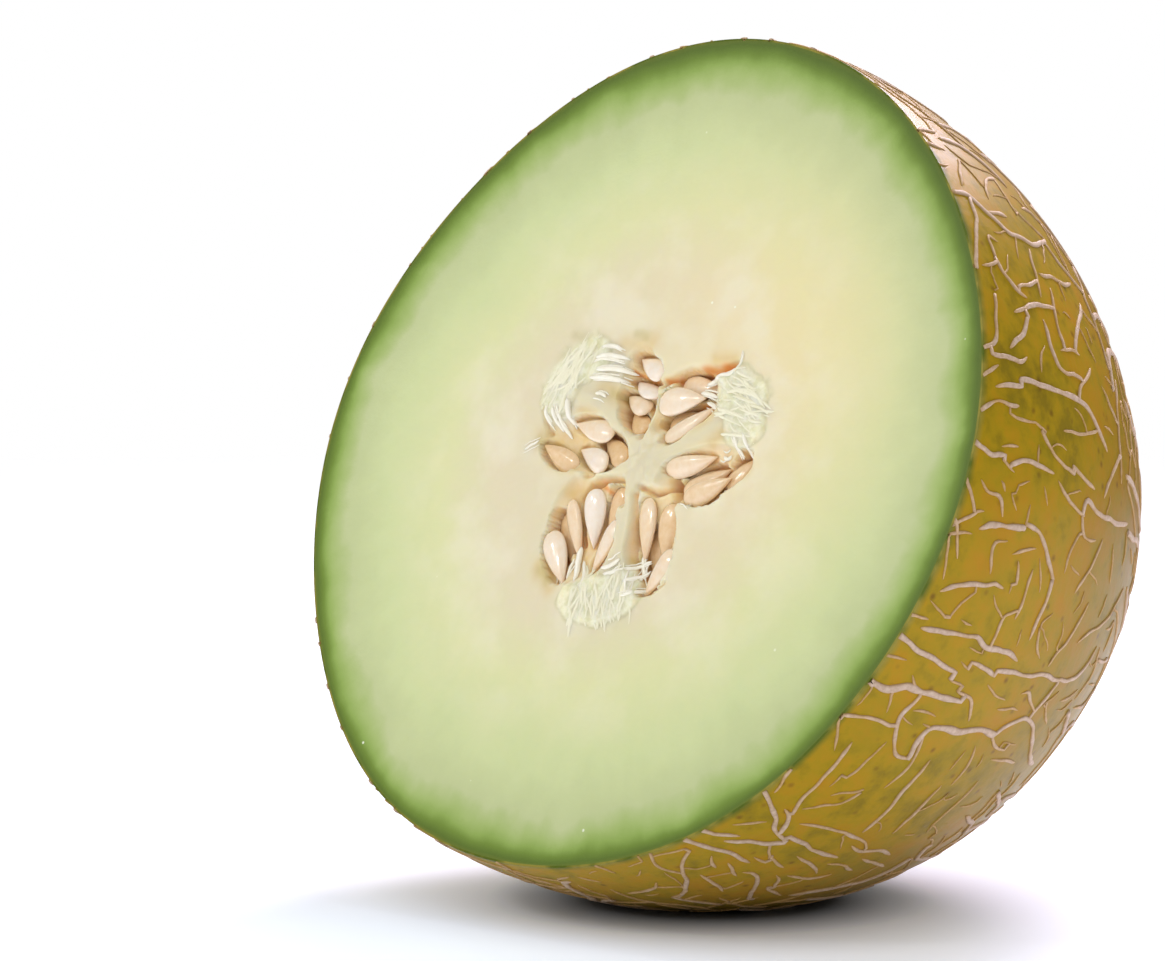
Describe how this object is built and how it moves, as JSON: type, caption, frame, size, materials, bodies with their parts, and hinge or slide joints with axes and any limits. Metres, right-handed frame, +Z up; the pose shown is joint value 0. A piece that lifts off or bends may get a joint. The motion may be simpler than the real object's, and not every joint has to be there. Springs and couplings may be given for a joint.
{
  "type": "halved netted honeydew melon",
  "caption": "Melon cut straight across: netted ochre rind, pale green flesh and a three-lobed core of loose seeds; rests on a small flat spot.",
  "frame": {"origin": "on the flat spot that the melon rests on, below the lowest point of its round skin", "axes": "+Z up; the cut face looks towards -Y and leans back by 20.6 degrees; the blossom end points towards +Y and a little down; +X is to the right as the cut face is seen"},
  "size_m": [0.153, 0.126, 0.1516],
  "materials": {
    "flesh": "satin",
    "rind": "satin",
    "net": "matte",
    "seed": "gloss",
    "fibre": "gloss"
  },
  "bodies": {
    "root": {"melon_half": "flesh", "seed_01": "seed", "seed_02": "seed", "seed_03": "seed", "seed_04": "seed", "seed_05": "seed", "seed_06": "seed", "seed_07": "seed", "seed_08": "seed", "seed_09": "seed", "seed_10": "seed", "seed_11": "seed", "seed_12": "seed", "seed_13": "seed", "seed_14": "seed", "seed_15": "seed", "seed_16": "seed", "seed_17": "seed", "seed_18": "seed", "seed_19": "seed", "seed_20": "seed", "seed_21": "seed", "seed_22": "seed", "seed_23": "seed", "seed_24": "seed", "seed_25": "seed", "seed_26": "seed", "seed_27": "seed"}
  },
  "joints": []
}
